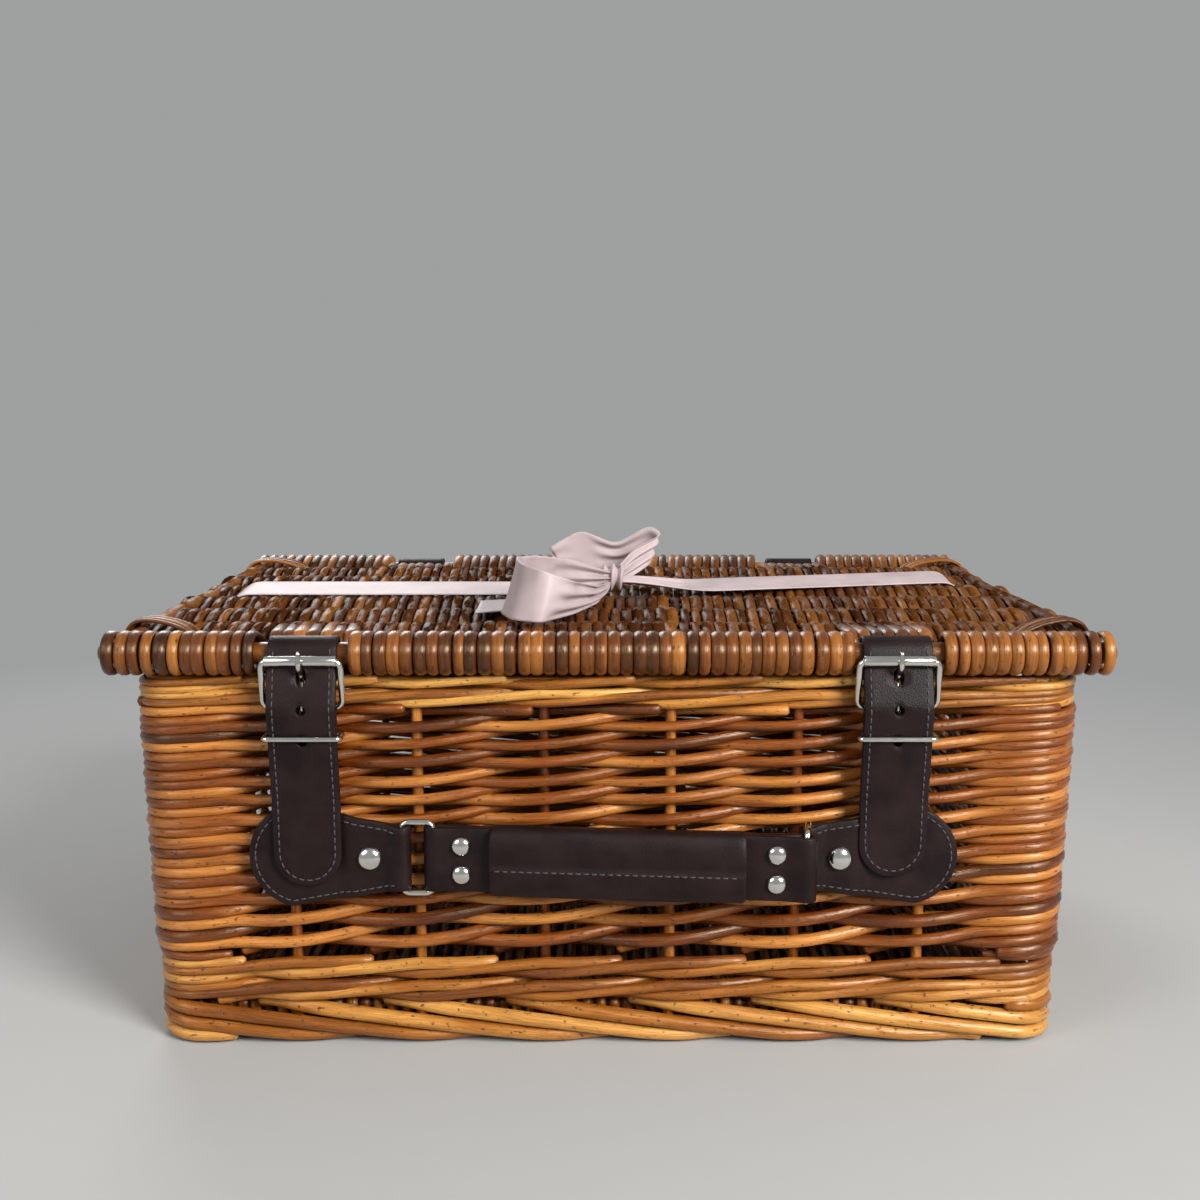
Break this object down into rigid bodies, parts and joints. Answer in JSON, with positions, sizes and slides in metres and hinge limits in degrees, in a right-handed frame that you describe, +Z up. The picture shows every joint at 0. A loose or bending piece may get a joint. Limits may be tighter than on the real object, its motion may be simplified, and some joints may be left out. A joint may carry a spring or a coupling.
{
  "type": "hamper basket",
  "caption": "Woven willow hamper with a hinged lid, leather straps with roller buckles, a leather carrying handle on wire rings and a satin bow.",
  "frame": {"origin": "centre of the object's box, on the floor that it stands on", "axes": "+X to the right seen from the front, +Y from the front to the hinged back, +Z up"},
  "size_m": [0.41, 0.3192, 0.2072],
  "materials": {
    "willow": "oiled willow rods",
    "willow_pale": "oiled willow rods",
    "willow_dark": "darker willow rods",
    "leather": "grained dark leather",
    "nickel": "polished nickel",
    "satin": "satin ribbon"
  },
  "bodies": {
    "basket": {"foot_front": "willow_pale", "lower_wale_front": "willow_pale", "wall_front": "willow", "rim_front": "willow_pale", "foot_right": "willow_pale", "lower_wale_right": "willow_pale", "wall_right": "willow", "rim_right": "willow_pale", "foot_back": "willow_pale", "lower_wale_back": "willow_pale", "wall_back": "willow", "rim_back": "willow_pale", "foot_left": "willow_pale", "lower_wale_left": "willow_pale", "wall_left": "willow", "rim_left": "willow_pale", "base_panel": "willow_dark", "post_front_left": "willow", "post_front_right": "willow", "post_back_left": "willow", "post_back_right": "willow", "hinge_strap_left": "leather", "chape_left": "leather", "keeper_left": "nickel", "tab_left": "leather", "tab_rivet_left": "nickel", "hinge_strap_right": "leather", "chape_right": "leather", "keeper_right": "nickel", "tab_right": "leather", "tab_rivet_right": "nickel"},
    "lid": {"lid_panel": "willow_dark", "lid_front_rod": "willow_dark", "lid_back_rod": "willow_dark", "lid_side_rod_left": "willow_dark", "lid_side_rod_right": "willow_dark", "corner_tie_front_left": "willow", "corner_tie_front_right": "willow", "corner_tie_back_left": "willow", "corner_tie_back_right": "willow", "ribbon_band": "satin", "bow_knot": "satin", "bow_loop_left": "satin", "bow_loop_right": "satin"},
    "strap_left": {"strap_left": "leather"},
    "buckle_left": {"buckle_left": "nickel", "prong_left": "nickel"},
    "roller_left": {"roller_left": "nickel"},
    "ring_left": {"ring_left": "nickel"},
    "strap_right": {"strap_right": "leather"},
    "buckle_right": {"buckle_right": "nickel", "prong_right": "nickel"},
    "roller_right": {"roller_right": "nickel"},
    "ring_right": {"ring_right": "nickel"},
    "handle": {"handle_strap": "leather", "handle_grip": "leather", "handle_rivet_left_upper": "nickel", "handle_rivet_left_lower": "nickel", "handle_rivet_right_upper": "nickel", "handle_rivet_right_lower": "nickel"}
  },
  "joints": [
    {"name": "lid_open", "type": "hinge", "parent": "basket", "child": "lid", "pos_m": [0, 0.15612, 0.1603], "axis": [-1, 0, 0], "range_deg": [0, 105], "deforming": ["strap_left", "strap_right", "hinge_strap_left", "hinge_strap_right"]},
    {"name": "strap_left_swing", "type": "hinge", "parent": "lid", "child": "strap_left", "pos_m": [-0.123, -0.13611, 0.16955], "axis": [-1, 0, 0], "range_deg": [-90, 0]},
    {"name": "buckle_left_swing", "type": "hinge", "parent": "basket", "child": "buckle_left", "pos_m": [-0.123, -0.14257, 0.1486], "axis": [1, 0, 0], "range_deg": [0, 106]},
    {"name": "roller_left_spin", "type": "hinge", "parent": "buckle_left", "child": "roller_left", "pos_m": [-0.123, -0.14643, 0.168], "axis": [1, 0, 0], "continuous": true},
    {"name": "strap_right_swing", "type": "hinge", "parent": "lid", "child": "strap_right", "pos_m": [0.117, -0.13611, 0.16955], "axis": [-1, 0, 0], "range_deg": [-90, 0]},
    {"name": "buckle_right_swing", "type": "hinge", "parent": "basket", "child": "buckle_right", "pos_m": [0.117, -0.14257, 0.1486], "axis": [1, 0, 0], "range_deg": [0, 106]},
    {"name": "roller_right_spin", "type": "hinge", "parent": "buckle_right", "child": "roller_right", "pos_m": [0.117, -0.14643, 0.168], "axis": [1, 0, 0], "continuous": true},
    {"name": "handle_swing", "type": "hinge", "parent": "basket", "child": "ring_left", "pos_m": [-0.0845, -0.14059, 0.08502], "axis": [0, 0.0344, -0.9994], "range_deg": [0, 55.52]},
    {"name": "handle_pivot", "type": "hinge", "parent": "ring_left", "child": "handle", "pos_m": [-0.0715, -0.14059, 0.08502], "axis": [0, 0.0344, -0.9994], "range_deg": [-61, 0]},
    {"name": "ring_right_swing", "type": "hinge", "parent": "basket", "child": "ring_right", "pos_m": [0.0825, -0.14059, 0.08502], "axis": [0, 0.0344, -0.9994], "range_deg": [0, 25]}
  ],
  "couplings": [
    {"joint": "strap_left_swing", "follows": "lid_open", "ratio": -0.81},
    {"joint": "buckle_left_swing", "follows": "lid_open", "ratio": 1},
    {"joint": "strap_right_swing", "follows": "lid_open", "ratio": -0.81},
    {"joint": "buckle_right_swing", "follows": "lid_open", "ratio": 1},
    {"joint": "handle_pivot", "follows": "handle_swing", "ratio": -1.0869},
    {"joint": "ring_right_swing", "follows": "handle_swing", "ratio": 0.44087}
  ]
}
